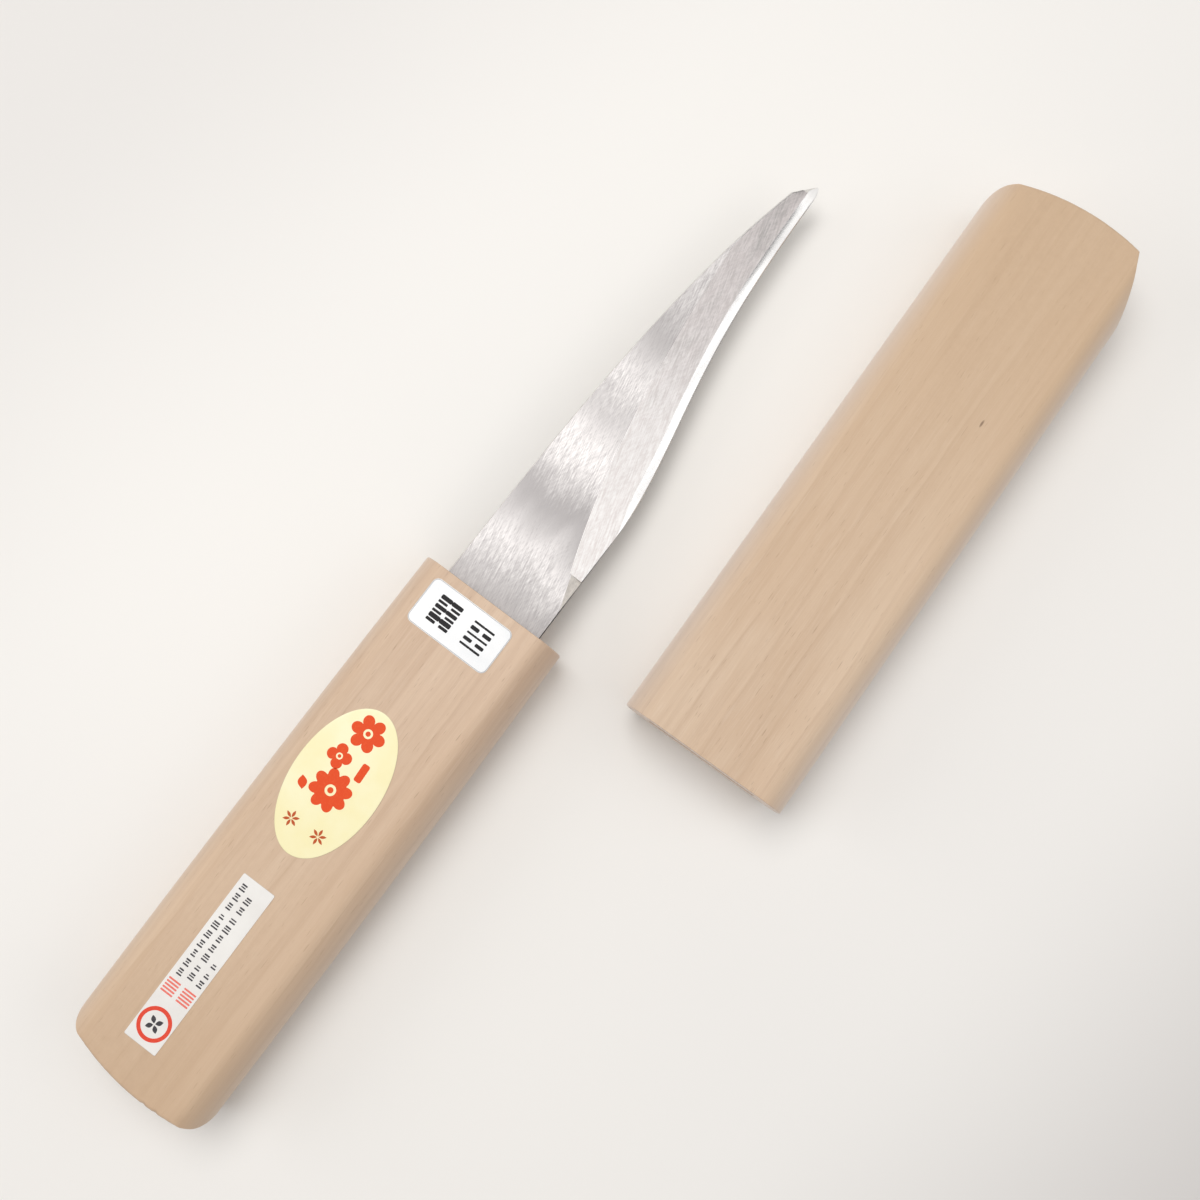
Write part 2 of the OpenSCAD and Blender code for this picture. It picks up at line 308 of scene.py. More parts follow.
class Nodes:
    """A short way to build a material's node tree."""

    def __init__(self, name, heading=0.0):
        self.heading = heading
        self.material = bpy.data.materials.new(name)
        self.material.use_nodes = True
        self.tree = self.material.node_tree
        self.tree.nodes.clear()
        self.shader = self.add("ShaderNodeBsdfPrincipled")
        output = self.add("ShaderNodeOutputMaterial")
        self.link(self.shader.outputs["BSDF"], output.inputs["Surface"])
        self.place = self.add("ShaderNodeTexCoord").outputs["Object"]

    def add(self, kind, **values):
        node = self.tree.nodes.new(kind)
        for key, value in values.items():
            setattr(node, key, value)
        return node

    def link(self, source, target):
        self.tree.links.new(source, target)

    def put(self, target, value):
        """A socket, a number or a colour goes into an input."""
        if isinstance(value, bpy.types.NodeSocket):
            self.link(value, target)
        elif value is not None:
            target.default_value = value

    def maths(self, operation, a, b=None):
        node = self.add("ShaderNodeMath", operation=operation)
        for target, value in zip(node.inputs, (a, b)):
            self.put(target, value)
        return node.outputs[0]

    def spread(self, per_mm, offset=(0, 0, 0), turned=0.0):
        """Piece coordinates, in so many units per millimetre, turned about Z by some degrees."""
        node = self.add("ShaderNodeMapping", vector_type="TEXTURE")
        self.link(self.place, node.inputs["Vector"])
        node.inputs["Scale"].default_value = [MM / s for s in per_mm]
        node.inputs["Location"].default_value = [-o * MM / s for o, s in zip(offset, per_mm)]
        node.inputs["Rotation"].default_value = (0, 0, self.heading + radians(turned))
        return node.outputs["Vector"]

    def millimetres(self):
        """Piece coordinates in millimetres, one output for each axis."""
        split = self.add("ShaderNodeSeparateXYZ")
        self.link(self.spread((1, 1, 1)), split.inputs[0])
        return split.outputs

    def noise(self, per_mm, offset=(0, 0, 0), turned=0.0, detail=3.0, rough=0.55):
        node = self.add("ShaderNodeTexNoise")
        self.link(self.spread(per_mm, offset, turned), node.inputs["Vector"])
        for key, number in (("Scale", 1.0), ("Detail", detail), ("Roughness", rough)):
            node.inputs[key].default_value = number
        return node.outputs["Fac"]

    def ramp(self, value, stops, interpolation="LINEAR"):
        node = self.add("ShaderNodeValToRGB")
        self.link(value, node.inputs["Fac"])
        ramp = node.color_ramp
        ramp.interpolation = interpolation
        while len(ramp.elements) < len(stops):
            ramp.elements.new(0.5)
        for element, (position, level) in zip(ramp.elements, stops):
            element.position = position
            element.color = (level, level, level, 1)
        return node.outputs["Color"]

    def mix(self, factor, a, b):
        node = self.add("ShaderNodeMix", data_type="RGBA")
        self.put(node.inputs[0], factor)
        self.put(node.inputs[6], a)
        self.put(node.inputs[7], b)
        return node.outputs[2]

    def remap(self, value, low, high, to_low, to_high):
        node = self.add("ShaderNodeMapRange")
        self.link(value, node.inputs["Value"])
        for target, number in zip(node.inputs[1:5], (low, high, to_low, to_high)):
            target.default_value = number
        return node.outputs["Result"]

    def tint(self, value, low, high, a, b, most=1.0):
        """From a to b as value goes from low to high, or only part of the way, by most."""
        return self.mix(self.remap(value, low, high, 0, most), a, b)

    def bump(self, height, distance_mm, strength=1.0, below=None):
        node = self.add("ShaderNodeBump")
        self.link(height, node.inputs["Height"])
        node.inputs["Distance"].default_value = distance_mm * MM
        node.inputs["Strength"].default_value = strength
        if below is not None:
            self.link(below, node.inputs["Normal"])
        return node.outputs["Normal"]

    def finish(self, colour, roughness, normal, **sockets):
        self.put(self.shader.inputs["Base Color"], colour)
        self.put(self.shader.inputs["Roughness"], roughness)
        self.link(normal, self.shader.inputs["Normal"])
        for key, value in sockets.items():
            self.shader.inputs[key.replace("_", " ")].default_value = value
        return self.material


def rgb(red, green, blue):
    """A linear colour from 0 to 255 display values."""
    def linear(value):
        v = value / 255
        return v / 12.92 if v <= 0.04045 else ((v + 0.055) / 1.055) ** 2.4
    return (linear(red), linear(green), linear(blue), 1)


def halfway(a, b):
    return tuple((p + q) / 2 for p, q in zip(a, b))


# ---- Materials ----


def ring_lines(n, shift, seed, line_gap):
    """Growth rings round a pith that lies outside the plank and wanders slowly along it."""
    wander = n.noise((0.009, 0.04, 0.04), shift, detail=2)
    fine_wander = n.noise((0.04, 0.3, 0.3), shift, detail=2)
    pith = n.add("ShaderNodeVectorMath", operation="LENGTH")
    n.link(n.spread((0.0035, 1, 1), (0, 46 + seed * 3, 24 + seed * 2)), pith.inputs[0])
    radius = n.maths("ADD", pith.outputs["Value"], n.maths("MULTIPLY", wander, 9.0))
    radius = n.maths("ADD", radius, n.maths("MULTIPLY", fine_wander, 0.8))
    ring = n.maths("FRACT", n.maths("DIVIDE", radius, line_gap))
    return n.ramp(ring, [(0.0, 0.05), (0.6, 0.1), (0.88, 0.5), (0.95, 1.0), (1.0, 0.0)])


def wear_sheen_and_shade(n, colour, dark, shift, flank_sheen):
    """Flanks made paler by a painted sheen, end grain that drinks light, arrises that wear has made a little
    darker, and painted shade in the butt's two nicks.
    """
    facing = n.add("ShaderNodeSeparateXYZ")
    n.link(n.add("ShaderNodeTexCoord").outputs["Normal"], facing.inputs[0])
    # Painted sheen: the further a face turns from straight up or down, the paler its colour
    across = n.remap(n.maths("ABSOLUTE", facing.outputs["Z"]), 0.1, 0.97, flank_sheen, 0.0)
    colour = n.mix(across, colour, rgb(232, 214, 200))
    end_grain = n.remap(n.maths("ABSOLUTE", facing.outputs["X"]), 0.75, 1.0, 0.0, 0.15)
    colour = n.mix(end_grain, colour, dark)
    # Darker where the arris value is high: wear on the rims and mouth, painted shade in the nicks
    wear_and_nick_shade = n.add("ShaderNodeAttribute", attribute_name="arris").outputs["Fac"]
    speck = n.noise((0.5, 0.5, 0.5), shift, detail=4, rough=0.7)
    wear_and_nick_shade = n.maths("MULTIPLY", wear_and_nick_shade, n.remap(speck, 0.35, 0.7, 0.1, 1.0))
    return n.mix(n.maths("MULTIPLY", wear_and_nick_shade, 0.3), colour, rgb(158, 126, 100))


def wood_material(name, tones, seed, line_gap, flank_sheen, heading=0.0, fleck=None):
    """Straight-grained pale magnolia, solid through: the ends show rings and the sides show lines."""
    n = Nodes(name, heading)
    pale, mid, dark = tones
    shift = (seed * 3.7, seed * 1.3, seed * 2.1)
    late = ring_lines(n, shift, seed, line_gap)
    # Long soft streaks, short fine fibres, blotches, slow changes of tone, and pores
    streaks = n.noise((0.008, 0.55, 0.55), shift, detail=5, rough=0.55)
    fibres = n.noise((0.12, 4.5, 4.5), shift, detail=3, rough=0.6)
    blotch = n.noise((0.05, 0.14, 0.14), shift, detail=3, rough=0.55)
    tone = n.noise((0.011, 0.035, 0.035), shift, detail=1)
    pores = n.noise((0.28, 3.4, 3.4), (seed, 7, 3), detail=1, rough=0.4)
    pore_mask = n.ramp(pores, [(0.0, 1.0), (0.25, 1.0), (0.31, 0.0), (1.0, 0.0)])
    colour = n.tint(tone, 0.35, 0.65, pale, mid)
    colour = n.tint(streaks, 0.42, 0.72, colour, dark, 0.34)
    fade = n.remap(blotch, 0.35, 0.62, 0.08, 0.48)
    colour = n.mix(n.maths("MULTIPLY", late, fade), colour, dark)
    colour = n.tint(blotch, 0.5, 0.72, colour, halfway(pale, rgb(232, 214, 192)), 0.22)
    colour = n.tint(fibres, 0.5, 0.78, colour, rgb(236, 220, 202), 0.26)
    colour = n.mix(n.maths("MULTIPLY", pore_mask, 0.4), colour, rgb(140, 110, 88))
    # Each piece is a little yellower towards its far end
    from_mouth = n.maths("ABSOLUTE", n.millimetres()["X"])
    colour = n.tint(from_mouth, 10, 125, colour, halfway(mid, rgb(190, 158, 118)), 0.66)
    if fleck:
        colour = n.mix(fleck_mask(n, fleck), colour, rgb(112, 88, 70))
    # Painted sheen on the flanks, end grain, wear, and painted shade in the nicks
    colour = wear_sheen_and_shade(n, colour, dark, shift, flank_sheen)
    rough = n.remap(streaks, 0.3, 0.7, 0.52, 0.66)
    normal = n.bump(streaks, 0.05, 0.35)
    normal = n.bump(fibres, 0.02, 0.5, normal)
    normal = n.bump(n.maths("SUBTRACT", 1.0, pore_mask), 0.015, 0.5, normal)
    return n.finish(colour, rough, normal, Specular_IOR_Level=0.4, Sheen_Weight=0.3, Sheen_Roughness=0.45)


def fleck_mask(n, centre):
    """One small dark fleck along the grain of the flat upper face."""
    place = n.millimetres()
    long_way = n.maths("DIVIDE", n.maths("SUBTRACT", place["X"], centre[0]), 0.95)
    wide_way = n.maths("DIVIDE", n.maths("SUBTRACT", place["Y"], centre[1]), 0.26)
    squares = [n.maths("MULTIPLY", way, way) for way in (long_way, wide_way)]
    far_out = n.maths("ADD", *squares)
    soft = n.remap(far_out, 0.2, 1.4, 0.75, 0.0)
    return n.maths("MULTIPLY", soft, n.maths("GREATER_THAN", place["Z"], WOOD_T - 1))


def slot_material(name, seed, heading=0.0):
    """The carved inside of a slot: the same wood, rougher and with tool marks, coloured darker than outside
    as painted shade in the recess, and darker still along the tool marks.
    """
    n = Nodes(name, heading)
    shift = (seed, seed * 2, 5)
    streaks = n.noise((0.02, 1.2, 1.2), shift, detail=5, rough=0.65)
    chops = n.noise((0.25, 0.12, 0.4), shift, detail=2)
    # Painted shade: the slot's wood is coloured darker than the outside of the piece
    colour = n.tint(streaks, 0.3, 0.7, rgb(190, 158, 130), rgb(152, 120, 94))
    colour = n.tint(chops, 0.45, 0.75, colour, rgb(118, 92, 74), 0.5)
    normal = n.bump(chops, 0.25, 0.6)
    normal = n.bump(streaks, 0.06, 0.6, normal)
    return n.finish(colour, 0.75, normal, Specular_IOR_Level=0.25)


def scratch_pair(n, along, across, tilt, seed):
    """Fine grinding scratches in two crossing directions."""
    first = n.noise((along, across, across), (seed, 0, 0), tilt, detail=4, rough=0.7)
    crossed = (along * 2, across * 0.7, across)
    second = n.noise(crossed, (0, seed, 0), -tilt * 1.6, detail=3, rough=0.65)
    return n.maths("ADD", n.maths("MULTIPLY", first, 0.68), n.maths("MULTIPLY", second, 0.32))


def along_blade(n, drift_mm):
    """Place along the blade from 0 at the handle to 1 at the point, wandering a little."""
    drift = n.noise((0.03, 0.11, 0.05), (4, 2, 1), detail=2)
    drift = n.remap(drift, 0.3, 0.7, -drift_mm, drift_mm)
    return n.maths("DIVIDE", n.maths("ADD", n.millimetres()["X"], drift), BLADE_LEN)


def along_ramp(n, along, stops):
    return n.ramp(along, [(x / BLADE_LEN, value) for x, value in stops], "B_SPLINE")


# Bands of painted reflection along the flat, from its hazy colour to its clear one: (distance from the
# handle, brightness)
FLAT_REFLECTION_BANDS = [
    (0, 0.22), (6, 0.22), (13, 1.0), (18, 0.55), (24, 0.0), (29, 0.0), (36, 1.0), (44, 1.0),
    (50, 0.2), (57, 0.9), (62, 0.75), (69, 0.15), (74, 0.12), (82, 0.6), (92, 0.65), (121, 0.7),
]
# Slow rolls left by hand grinding: (distance from the handle, height)
FLAT_ROLLS = [
    (0, 0.50), (9, 0.66), (21, 0.40), (34, 0.64), (48, 0.34), (53, 0.42), (64, 0.24), (94, 0.52), (121, 0.52),
]
# The same for the bevel, which is brightest just ahead of the notch: a painted highlight in its colour, where
# it is also less metallic
BEVEL_MATT_AND_HIGHLIGHT_BANDS = [
    (0, 1.0), (14, 1.0), (28, 0.95), (38, 0.8), (50, 0.8), (64, 0.5), (76, 0.2), (96, 0.1), (121, 0.0),
]
BEVEL_ROLLS = [(0, 0.9), (14, 0.9), (30, 0.35), (60, 0.45), (121, 0.5)]
# Tone along the polished strip, then how mirror-like it is
STRIP_BANDS = [(0, 0.9), (92, 0.95), (99, 0.55), (112, 0.5), (116.5, 1.0), (121, 1.0)]
TIP_HAZE = [(0, 1.0), (114, 1.0), (117.5, 0.15), (121, 0.1)]


def ground_iron_material():
    """Flat of the blade: satin ground iron that rolls a little, so light pools in soft bands, and the same
    bands are painted into its colour as reflection.
    """
    n = Nodes("ground_iron")
    along = along_blade(n, 2.5)
    scratches = scratch_pair(n, 0.3, 3.6, 11, 3.0)
    feathered = n.maths("ADD", along, n.remap(scratches, 0.35, 0.65, -0.02, 0.02))
    # Painted reflection: the colour runs from hazy to clear in bands along the flat
    band = along_ramp(n, feathered, FLAT_REFLECTION_BANDS)
    mottle = n.noise((0.35, 0.6, 0.6), (9, 1, 1), detail=5, rough=0.7)
    hazy = n.tint(scratches, 0.36, 0.64, rgb(124, 121, 121), rgb(146, 143, 143))
    clear = n.tint(scratches, 0.38, 0.62, rgb(146, 143, 143), rgb(212, 209, 208))
    colour = n.mix(band, hazy, clear)
    colour = n.tint(mottle, 0.55, 0.75, colour, rgb(120, 117, 116), 0.15)
    rough = n.remap(scratches, 0.35, 0.65, 0.42, 0.53)
    normal = n.bump(along_ramp(n, along, FLAT_ROLLS), 1.0)
    normal = n.bump(scratches, 0.02, 0.7, normal)
    return n.finish(colour, rough, normal, Metallic=1.0)


def bevel_iron_material():
    """Ground bevel: stone-finished iron with a hazy, faintly warm surface and fine oblique scratches, and a
    painted highlight in bands along it.
    """
    n = Nodes("bevel_iron")
    scratches = scratch_pair(n, 0.24, 2.8, 16, 8.0)
    haze = n.noise((0.05, 0.22, 0.2), (2, 6, 1), detail=4, rough=0.6)
    along = along_blade(n, 1.5)
    colour = n.tint(haze, 0.3, 0.7, rgb(184, 180, 178), rgb(208, 200, 199))
    colour = n.tint(scratches, 0.42, 0.62, colour, rgb(232, 225, 224), 0.75)
    bright = n.tint(scratches, 0.4, 0.6, rgb(232, 226, 224), rgb(255, 254, 253))
    # Painted highlight: in bands along the bevel the colour goes almost white and the surface turns less
    # metallic
    matt_and_highlight = along_ramp(n, along, BEVEL_MATT_AND_HIGHLIGHT_BANDS)
    colour = n.mix(matt_and_highlight, colour, bright)
    rough = n.remap(haze, 0.3, 0.7, 0.3, 0.42)
    normal = n.bump(along_ramp(n, along, BEVEL_ROLLS), 1.0)
    normal = n.bump(scratches, 0.02, 0.8, normal)
    material = n.finish(colour, rough, normal)
    n.put(n.shader.inputs["Metallic"], n.remap(matt_and_highlight, 0.4, 1, 1, 0.3))
    return material


def polished_steel_material():
    """Hard steel along the edge: honed bright, with only hairline marks across it."""
    n = Nodes("polished_steel")
    hairs = scratch_pair(n, 1.6, 0.35, 3, 5.0)
    cloud = n.noise((0.06, 0.4, 0.4), (1, 8, 3), detail=3)
    along = along_blade(n, 2.0)
    shine = n.tint(cloud, 0.35, 0.65, rgb(228, 227, 226), rgb(246, 246, 245))
    colour = n.mix(along_ramp(n, along, STRIP_BANDS), rgb(176, 174, 173), shine)
    rough = n.remap(hairs, 0.35, 0.65, 0.16, 0.26)
    material = n.finish(colour, rough, n.bump(hairs, 0.003, 0.6))
    n.put(n.shader.inputs["Metallic"], along_ramp(n, along, TIP_HAZE))
    return material


def hazy_lit_iron_material():
    """Small coarse-ground facets that the fine stones never reached: rougher and less glossy, and paler as
    painted light, so that facets turned away from the lamps still look lit.
    """
    n = Nodes("hazy_lit_iron")
    marks = scratch_pair(n, 0.5, 2.4, 8, 2.0)
    cloud = n.noise((0.3, 0.5, 0.5), (6, 2, 4), detail=4, rough=0.6)
    # Painted light: a pale colour, so these facets look lit even where they face the dim surroundings
    colour = n.tint(marks, 0.38, 0.62, rgb(206, 203, 198), rgb(236, 233, 228))
    colour = n.tint(cloud, 0.5, 0.75, colour, rgb(184, 180, 174), 0.35)
    rough = n.remap(marks, 0.35, 0.65, 0.48, 0.62)
    return n.finish(colour, rough, n.bump(marks, 0.012, 0.8), Metallic=0.3)


def back_steel_material():
    """Back of the blade: a honed rim round a shallow hollow, all ground along its length."""
    n = Nodes("back_steel")
    scratches = scratch_pair(n, 0.2, 3.0, 4, 6.0)
    cloud = n.noise((0.08, 0.16, 0.2), (7, 3, 2), detail=4, rough=0.6)
    colour = n.tint(cloud, 0.3, 0.7, rgb(186, 183, 182), rgb(222, 219, 218))
    colour = n.tint(scratches, 0.44, 0.64, colour, rgb(240, 238, 237), 0.4)
    rough = n.remap(scratches, 0.35, 0.65, 0.24, 0.42)
    normal = n.bump(scratches, 0.01, 0.9)
    return n.finish(colour, rough, normal, Metallic=1.0)


def scale_material():
    """Black forge scale left on the blade's sides, rubbed through to grey iron in places."""
    n = Nodes("forge_scale")
    patches = n.noise((0.3, 0.6, 0.9), (3, 3, 3), detail=6, rough=0.72)
    grit = n.noise((3, 3, 3), detail=3, rough=0.6)
    bare = n.ramp(patches, [(0.0, 0.0), (0.56, 0.0), (0.66, 1.0), (1.0, 1.0)])
    colour = n.mix(bare, rgb(52, 49, 50), rgb(128, 124, 122))
    rough = n.remap(patches, 0.3, 0.7, 0.62, 0.4)
    normal = n.bump(patches, 0.03, 0.7)
    normal = n.bump(grit, 0.01, 0.6, normal)
    return n.finish(colour, rough, normal, Metallic=0.7)


def paper_material(name, base, shade, gloss):
    """A coated sticker: very fine paper tooth, faint mottling and a slightly dirty edge."""
    n = Nodes(name)
    cloud = n.noise((0.12, 0.12, 0.12), (5, 1, 1), detail=3)
    tooth = n.noise((5, 5, 5), detail=3, rough=0.6)
    colour = n.tint(cloud, 0.35, 0.65, base, shade)
    rim = n.add("ShaderNodeAttribute", attribute_name="arris").outputs["Fac"]
    colour = n.mix(n.maths("MULTIPLY", rim, 0.5), colour, rgb(168, 156, 144))
    rough = n.remap(tooth, 0.3, 0.7, gloss, gloss + 0.12)
    normal = n.bump(tooth, 0.004, 0.5)
    normal = n.bump(cloud, 0.03, 0.4, normal)
    return n.finish(colour, rough, normal, Coat_Weight=0.25, Coat_Roughness=0.2)


def ink_material(name, base, thin):
    """Printing ink, slightly uneven where it covers the paper."""
    n = Nodes(name)
    cover = n.noise((2.2, 2.2, 2.2), detail=4, rough=0.65)
    colour = n.tint(cover, 0.5, 0.75, base, thin, 0.45)
    rough = n.remap(cover, 0.3, 0.7, 0.38, 0.52)
    return n.finish(colour, rough, n.bump(cover, 0.003, 0.5), Specular_IOR_Level=0.18)


def floor_material():
    """Pale tabletop, with painted shade towards two far corners."""
    n = Nodes("pale_table")
    cloud = n.noise((0.004, 0.004, 0.004), detail=2)
    grain = n.noise((0.9, 0.9, 0.9), detail=3)
    colour = n.tint(cloud, 0.3, 0.7, rgb(240, 238, 234), rgb(236, 234, 231))
    # Painted shade: the tabletop greys a lot towards one far corner and a little towards the opposite one,
    # where the light falls off
    corner = n.add("ShaderNodeVectorMath", operation="DOT_PRODUCT")
    n.link(n.spread((1, 1, 1)), corner.inputs[0])
    corner.inputs[1].default_value = picture_direction(0.7, -0.7)
    share = n.remap(corner.outputs["Value"], -250, 250, 0, 1)
    stops = [(0.0, 0.4), (0.12, 0.4), (0.34, 0.0), (0.68, 0.0), (0.9, 1.0), (1.0, 1.0)]
    grey = n.ramp(share, stops, "EASE")
    colour = n.mix(grey, colour, rgb(206, 203, 201))
    return n.finish(colour, 0.62, n.bump(grain, 0.01, 0.2), Specular_IOR_Level=0.25)


# ---- Wooden halves ----

# Angles up the flank, closer together where it meets the flat face
FLANK_ANGLES = [6 * k for k in range(12)] + [70, 74, 78, 81, 84, 87, 90]
SEAM_BREAK = 0.07
MOUTH_BREAK = 0.22
RIM_R = 0.7
RIM_NICKS = (-5.5, -8.5)
NICK_DEPTH = 0.4
# Only the handle's upper half, whose seed is below this, has the nicks
NICKED_BELOW = 2
# Gap between grain lines, and how much paler a painted sheen makes the flanks
HANDLE_LOOK, SHEATH_LOOK = (4.8, 0.15), (5.5, 0.7)
SHEATH_FLECK = (93.6, -7.0)
MOUTH_POINTS, FLANK_POINTS, END_POINTS = 14, 30, 84


def end_profile(length, side, big, apex, corners):
    """How far the rounded end reaches at each y: one big arc, with a small arc at each corner."""
    spine_r, edge_r = corners
    centre = length - big
    spine_x = centre + sqrt((big - spine_r) ** 2 - (side - spine_r - apex) ** 2)
    edge_x = centre + sqrt((big - edge_r) ** 2 - (-side + edge_r - apex) ** 2)
    spine_turn = atan2(side - spine_r - apex, spine_x - centre)
    edge_turn = atan2(-side + edge_r - apex, edge_x - centre)
    top_y = apex + big * sin(spine_turn)
    low_y = apex + big * sin(edge_turn)

    def reach(y):
        if y > top_y:
            return spine_x + sqrt(max(spine_r**2 - (y - side + spine_r) ** 2, 0))
        if y < low_y:
            return edge_x + sqrt(max(edge_r**2 - (y + side - edge_r) ** 2, 0))
        return centre + sqrt(big**2 - (y - apex) ** 2)

    return reach


def nicks_at(y, width):
    """1 at each of the two small nicks in the butt's rim, falling to 0 beside it."""
    return sum(exp(-(((y - at) / width) ** 2)) for at in RIM_NICKS)


def chip(y, z, seed):
    """Depth of the small chips and fuzz round a sawn and sanded rim, strongest at the flat faces."""
    near_face = max(0.0, 1 - (HALF_T - z) / 1.2)
    rough = 0.1 * max(0.0, noise.noise(Vector((y * 1.3, z * 0.8, seed))))
    return near_face * (rough + NICK_DEPTH * nicks_at(y, 0.4) * (seed < NICKED_BELOW))


def outline(sign, side_at, reach, side, insets, chips):
    """One level's closed outline, round from the mouth. sign is the way the piece runs along X."""
    inset, end_inset, mouth_inset = insets

    def flank(y_sign):
        y_end = y_sign * (side - inset)
        stop = reach(y_end) - end_inset
        start = mouth_inset + MOUTH_BREAK
        for k in range(FLANK_POINTS):
            along = start + (stop - start) * k / FLANK_POINTS
            yield along, y_sign * (side_at(along) - inset)

    half = side_at(0) - inset - MOUTH_BREAK
    mouth = [(mouth_inset, half - 2 * half * k / (MOUTH_POINTS - 1)) for k in range(MOUTH_POINTS)]
    end = []
    for k in range(END_POINTS):
        y = (side - inset) * sin(pi * (k / (END_POINTS - 1) - 0.5))
        end.append((reach(y) - end_inset - chips(y) - THIN / 4, y))
    lower, upper = list(flank(-1)), list(flank(1))
    return [(sign * d, y) for d, y in mouth + lower + end + upper[::-1]]


def wood_levels():
    """(height above the seam, flank inset, end inset, mouth inset) up one half."""
    levels = [(0.0, SEAM_BREAK, SEAM_BREAK, SEAM_BREAK), (SEAM_BREAK, 0.0, 0.0, 0.0)]
    for angle in FLANK_ANGLES[1:]:
        z = HALF_T * sin(radians(angle))
        inset = FLANK * (1 - cos(radians(angle)))
        over = max(z - (HALF_T - RIM_R), 0)
        rim = RIM_R - sqrt(max(RIM_R**2 - over**2, 0))
        mouth_over = max(z - (HALF_T - MOUTH_BREAK), 0)
        mouth = MOUTH_BREAK - sqrt(max(MOUTH_BREAK**2 - mouth_over**2, 0))
        levels.append((z, inset, rim, mouth))
    return levels


def wood_half(name, upper, shape, carving, place, body, materials, slot, seed):
    """Half a handle or sheath: outlines stacked from the seam up, then carved for the blade."""
    sign, side_at, side, reach = shape
    cutter, depth = carving
    flip = 1 if upper else -1
    rings = []
    for z, *insets in wood_levels():
        ring = outline(sign, side_at, reach, side, insets, lambda y: chip(y, z, seed))
        rings.append([(x, y, SEAM_Z + flip * z) for x, y in ring])
    mesh = loft(name, rings)
    obj = make_object(name, mesh, place, body, materials, slot, [name])
    cut(obj, cutter())
    mark_slot(obj, depth)
    mark_arris(obj, sign, reach, side)
    smooth(obj, 32)
    level_out(obj)
    obj.name = name + "_wood"


def level_out(obj):
    """The object's turn goes into its mesh, so that its box is square to the world."""
    place = obj.matrix_world.copy()
    obj.data.transform(place.to_3x3().to_4x4())
    obj.matrix_world = Matrix.Translation(place.translation)


def mark_slot(obj, depth):
    """Faces inside the carved slot take the second material."""
    most_y, most_z = SPINE_Y0 + SLOT_SIDE + 0.2, SLOT_H / 2 + 0.05
    for face in obj.data.polygons:
        centre = face.center / MM
        inside = abs(centre.y) < most_y and abs(centre.z - SEAM_Z) < most_z
        past_mouth = abs(centre.x) > 0.05 or abs(face.normal.x) < 0.5
        face.material_index = int(inside and past_mouth and abs(centre.x) < depth + 1)


def mark_arris(obj, sign, reach, side):
    """A 0 to 1 value near the butt's rim and the mouth's edges, for wear, and in the butt's two nicks, for
    painted shade.
    """
    attribute = obj.data.attributes.new("arris", "FLOAT", "POINT")
    values = []
    for vertex in obj.data.vertices:
        x, y, z = vertex.co / MM
        along = sign * x
        from_end = reach(max(-side, min(side, y))) - along
        up = HALF_T - abs(z - SEAM_Z)
        rim = max(0, 1 - from_end / 1.2) * max(0, 1 - up / 1.6)
        mouth = max(0, 1 - along / 0.5)
        # In the two nicks the value stands for painted shade inside them, not wear
        nick = nicks_at(y, 0.5) * (sign < 0) * (from_end < 0.8)
        values.append(min(1.0, rim + 0.25 * mouth + 2 * nick * max(0, 1 - up / 2.5)))
    attribute.data.foreach_set("value", values)


def cutter_mesh(stations, low_z, high_z, sign, flare):
    """A carving tool's path: rectangles along the piece, opened out by flare at the mouth."""
    rings = []
    for along, y_low, y_high in stations:
        f = flare if along <= 0 else 0
        x = sign * along
        left, right, low, high = y_low - f, y_high + f, low_z - f, high_z + f
        rings.append([(x, left, low), (x, right, low), (x, right, high), (x, left, high)])
    return loft("cutter", rings)


def tang_cutter():
    gap = 0.05
    stations = [(-1, edge_y(0) - gap, spine_y(0) + gap), (0, edge_y(0) - gap, spine_y(0) + gap)]
    ends = [TANG_LEN + gap - TANG_ROUND * (1 - cos(pi / 2 * k / 5)) for k in range(6)]
    for along in [0.15, TANG_SHOULDER] + ends[::-1]:
        stations.append((along, tang_side(-along, EDGE_Y0) - gap, tang_side(-along, SPINE_Y0) + gap))
    return cutter_mesh(stations, BACK_Z, BACK_Z + BLADE_T, -1, 0.12)


def slot_cutter():
    low, high = edge_y(0) - SLOT_SIDE, spine_y(0) + SLOT_SIDE
    stations = [(-1, low, high), (0, low, high)]
    steps = 40
    for k in range(steps + 1):
        along = 0.35 + (SLOT_END - 0.35) * k / steps
        at = along * BLADE_LEN / SLOT_END
        stations.append((along, edge_y(at) - SLOT_SIDE, spine_y(at) + SLOT_SIDE))
    return cutter_mesh(stations, SEAM_Z - SLOT_H / 2, SEAM_Z + SLOT_H / 2, 1, 0.3)


def handle_side(along):
    return HANDLE_SIDE + HANDLE_SWELL * (1 - ((along - HANDLE_LEN / 2) / (HANDLE_LEN / 2)) ** 2)


def make_halves(kind, tones, seeds, look, heading, fleck, inside, *placing):
    """Upper and lower half of the handle or the sheath."""
    for end, upper, seed in (("", True, seeds[0]), ("_back", False, seeds[1])):
        slot = kind + "_wood" + end
        wood = wood_material(slot, tones, seed, *look, heading, fleck if upper else None)
        wood_half(kind + (end or "_front") + "_half", upper, *placing, [wood, inside], slot, seed)


def make_handle():
    side = handle_side(HANDLE_LEN - 5)
    reach = end_profile(HANDLE_LEN, side, BUTT_R, BUTT_APEX, BUTT_CORNERS)
    shape, carving = (-1, handle_side, side, reach), (tang_cutter, TANG_LEN)
    inside = slot_material("handle_channel", 2)
    tones = (rgb(219, 194, 170), rgb(205, 177, 151), rgb(180, 150, 126))
    placing = (shape, carving, KNIFE, "knife")
    make_halves("handle", tones, (1.0, 2.4), HANDLE_LOOK, 0.0, None, inside, *placing)


